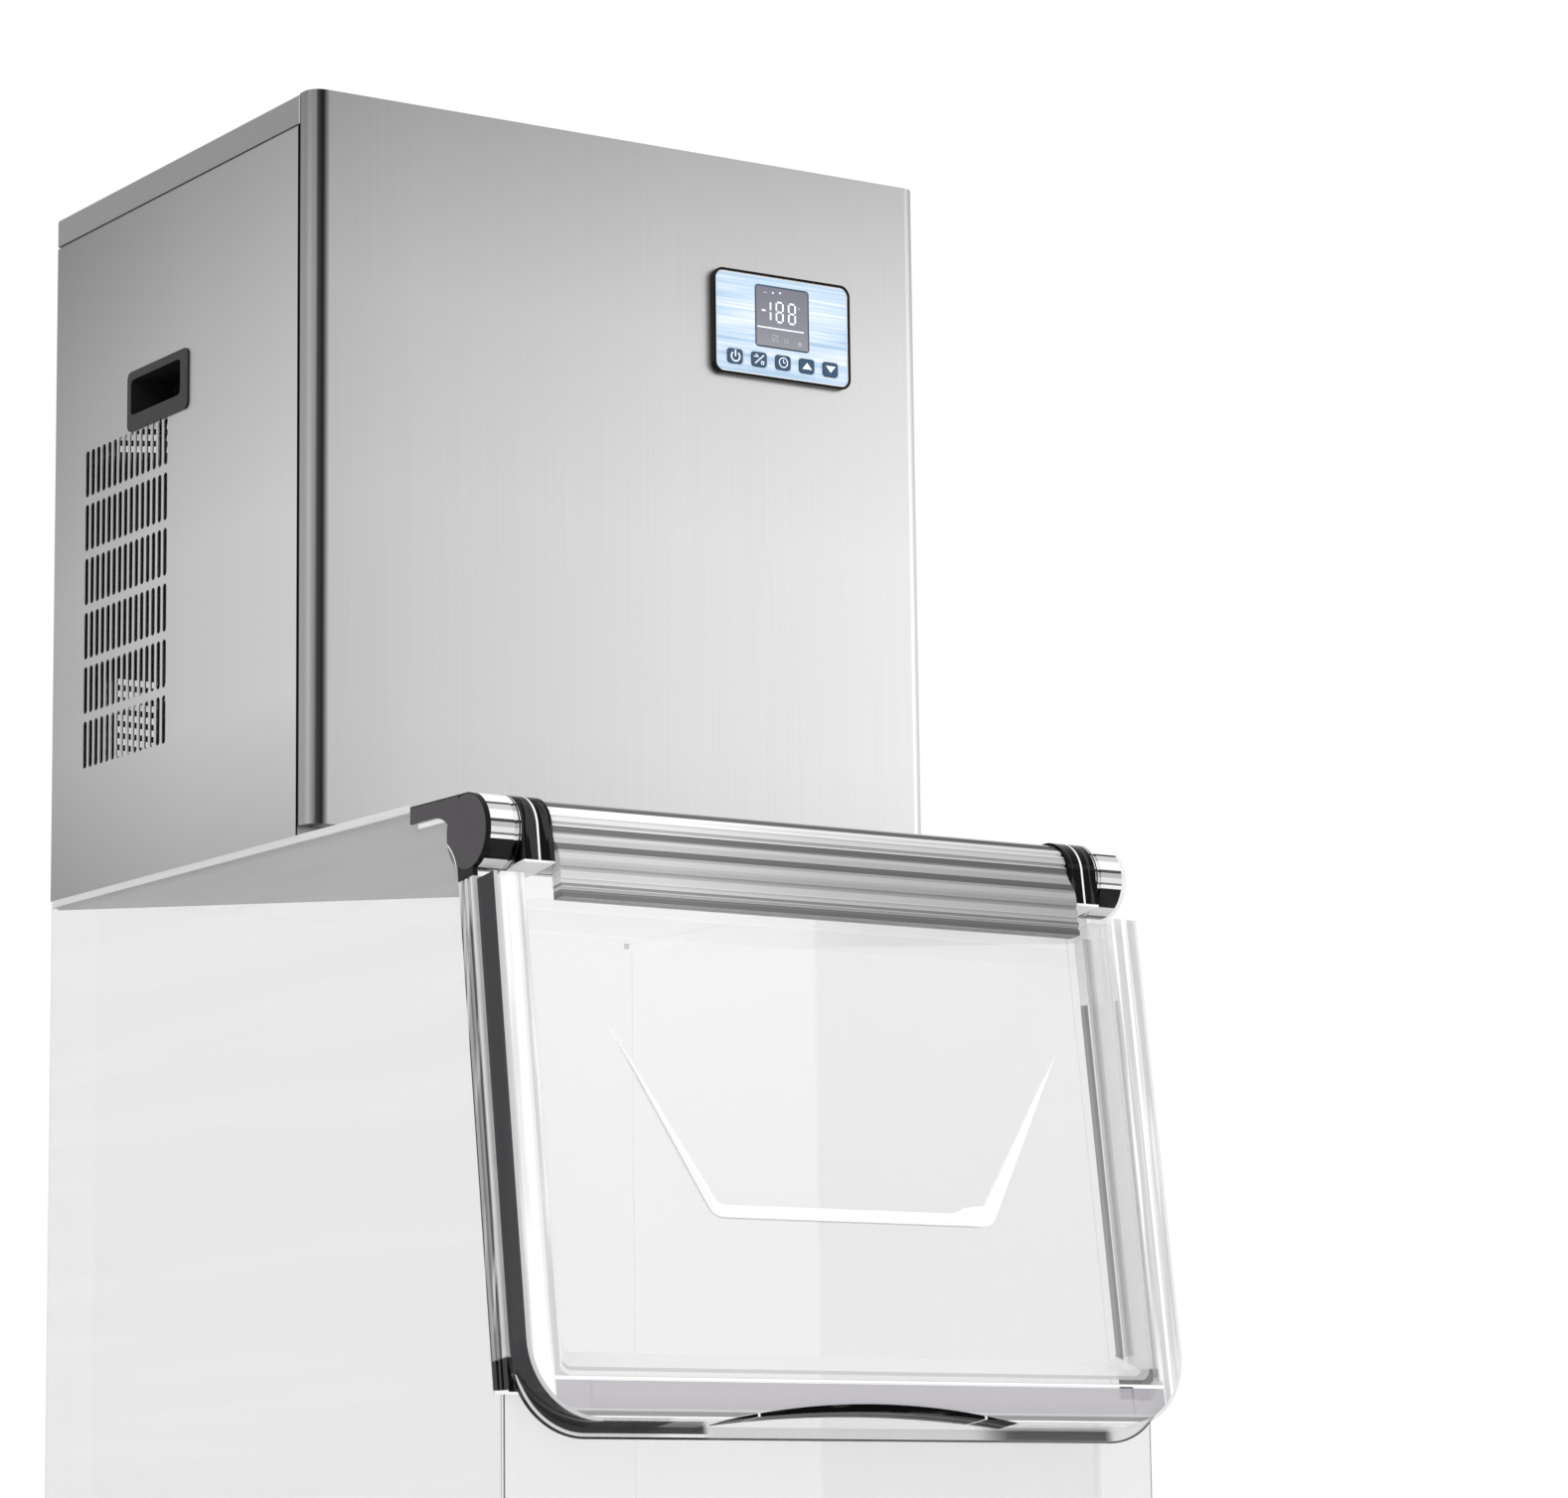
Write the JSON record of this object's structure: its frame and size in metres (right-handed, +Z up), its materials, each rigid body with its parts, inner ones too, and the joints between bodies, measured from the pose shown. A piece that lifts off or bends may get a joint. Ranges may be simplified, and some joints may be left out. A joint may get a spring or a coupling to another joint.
{
  "type": "ice machine",
  "caption": "Stainless steel modular ice maker head with a control panel, louvred sides and recessed handles, on a clear storage bin with a sloping top-hinged clear door.",
  "frame": {"origin": "on the floor under the middle of the machine's bounding box", "axes": "+X to the machine's right as seen from its front, +Y to its back, +Z up; the door faces -Y"},
  "size_m": [0.563, 0.7746, 1.581],
  "materials": {
    "stainless": "vertical brushed grain",
    "galvanised": "plain zinc-coated sheet",
    "deck_steel": "fine brushed grain",
    "clear_wall": "clear, slightly grey",
    "clear_liner": "clear, faintly milky",
    "clear_door": "clear, glossy",
    "clear_trim": "clear grey, streaked",
    "smoked": "dark grey gloss",
    "black_gloss": "black gloss",
    "black_matte": "black satin",
    "chrome": "polished",
    "bar": "ribbed extrusion, satin",
    "fascia": "light blue printed face",
    "display": "grey violet display with numerals",
    "button": "dark slate blue",
    "board": "green circuit board",
    "leg_steel": "turned steel",
    "rubber": "soft black",
    "gasket": "soft grey seal",
    "copper": "copper tube",
    "evap": "plated cells",
    "white_plastic": "white moulded plastic",
    "curtain": "clear moulded curtain",
    "black_paint": "black painted steel",
    "motor": "grey painted housing",
    "fins": "plate fins"
  },
  "bodies": {
    "cabinet": {"bin_shell": "clear_wall", "bin_liner": "clear_liner", "bin_deck": "deck_steel", "left_hinge_gusset": "smoked", "right_hinge_gusset": "smoked", "left_side_trim": "clear_trim", "right_side_trim": "clear_trim", "hinge_caps": "chrome", "bin_drain": "white_plastic", "bin_legs": "leg_steel", "base_pan": "galvanised", "front_panel": "stainless", "left_side_panel": "stainless", "right_side_panel": "stainless", "rear_panel": "galvanised", "top_panel": "stainless", "left_recessed_handle": "black_matte", "right_recessed_handle": "black_matte", "control_bezel": "black_gloss", "control_fascia": "fascia", "display_window": "display", "control_board": "board", "divider_wall": "galvanised", "evaporator": "evap", "water_distributor": "white_plastic", "water_trough": "white_plastic", "pump_motor": "black_matte", "float_valve": "white_plastic", "compressor": "black_paint", "compressor_mounts": "rubber", "condenser": "fins", "fan_shroud": "galvanised", "fan_motor": "motor", "refrigerant_lines": "copper", "feed_riser": "white_plastic", "inlet_valve": "white_plastic", "power_inlet": "black_matte", "panel_screws": "leg_steel"},
    "door": {"door_frame": "clear_door", "door_window": "clear_door", "door_liner": "clear_liner", "door_gasket": "gasket", "hinge_bar": "bar", "left_hinge_block": "black_gloss", "right_hinge_block": "black_gloss", "door_grip": "black_gloss", "door_edge_band": "smoked"},
    "power_button_body": {"power_button": "button"},
    "wash_button_body": {"wash_button": "button"},
    "timer_button_body": {"timer_button": "button"},
    "up_button_body": {"up_button": "button"},
    "down_button_body": {"down_button": "button"},
    "pump_impeller_body": {"pump_impeller": "white_plastic"},
    "float_arm_body": {"float_arm": "white_plastic"},
    "ice_curtain_body": {"ice_curtain": "curtain"},
    "fan_blade_body": {"fan_blade": "black_matte"},
    "foot_front_left_body": {"foot_front_left": "leg_steel"},
    "foot_front_right_body": {"foot_front_right": "leg_steel"},
    "foot_rear_left_body": {"foot_rear_left": "leg_steel"},
    "foot_rear_right_body": {"foot_rear_right": "leg_steel"}
  },
  "joints": [
    {"name": "door_hinge", "type": "hinge", "parent": "cabinet", "child": "door", "pos_m": [0, -0.29974, 0.9805], "axis": [-1, 0, 0], "range_deg": [0, 170]},
    {"name": "power_button_press", "type": "slide", "parent": "cabinet", "child": "power_button_body", "axis": [0, 1, 0], "range_m": [0, 0.001], "stiffness_N_per_m": 1500, "springref_m": -0.0005},
    {"name": "wash_button_press", "type": "slide", "parent": "cabinet", "child": "wash_button_body", "axis": [0, 1, 0], "range_m": [0, 0.001], "stiffness_N_per_m": 1500, "springref_m": -0.0005},
    {"name": "timer_button_press", "type": "slide", "parent": "cabinet", "child": "timer_button_body", "axis": [0, 1, 0], "range_m": [0, 0.001], "stiffness_N_per_m": 1500, "springref_m": -0.0005},
    {"name": "up_button_press", "type": "slide", "parent": "cabinet", "child": "up_button_body", "axis": [0, 1, 0], "range_m": [0, 0.001], "stiffness_N_per_m": 1500, "springref_m": -0.0005},
    {"name": "down_button_press", "type": "slide", "parent": "cabinet", "child": "down_button_body", "axis": [0, 1, 0], "range_m": [0, 0.001], "stiffness_N_per_m": 1500, "springref_m": -0.0005},
    {"name": "ice_curtain_swing", "type": "hinge", "parent": "cabinet", "child": "ice_curtain_body", "pos_m": [0, 0.05776, 1.525], "axis": [-1, 0, 0], "range_deg": [0, 25]},
    {"name": "float_swing", "type": "hinge", "parent": "cabinet", "child": "float_arm_body", "pos_m": [-0.216, 0.09826, 1.284], "axis": [0, -1, 0], "range_deg": [0, 15]},
    {"name": "condenser_fan_spin", "type": "hinge", "parent": "cabinet", "child": "fan_blade_body", "pos_m": [-0.1785, 0.25276, 1.22], "axis": [1, 0, 0], "continuous": true},
    {"name": "pump_spin", "type": "hinge", "parent": "cabinet", "child": "pump_impeller_body", "pos_m": [0.208, 0.08726, 1.215], "axis": [0, 0, 1], "continuous": true},
    {"name": "foot_front_left_level", "type": "slide", "parent": "cabinet", "child": "foot_front_left_body", "axis": [0, 0, 1], "range_m": [0, 0.015]},
    {"name": "foot_front_right_level", "type": "slide", "parent": "cabinet", "child": "foot_front_right_body", "axis": [0, 0, 1], "range_m": [0, 0.015]},
    {"name": "foot_rear_left_level", "type": "slide", "parent": "cabinet", "child": "foot_rear_left_body", "axis": [0, 0, 1], "range_m": [0, 0.015]},
    {"name": "foot_rear_right_level", "type": "slide", "parent": "cabinet", "child": "foot_rear_right_body", "axis": [0, 0, 1], "range_m": [0, 0.015]}
  ]
}
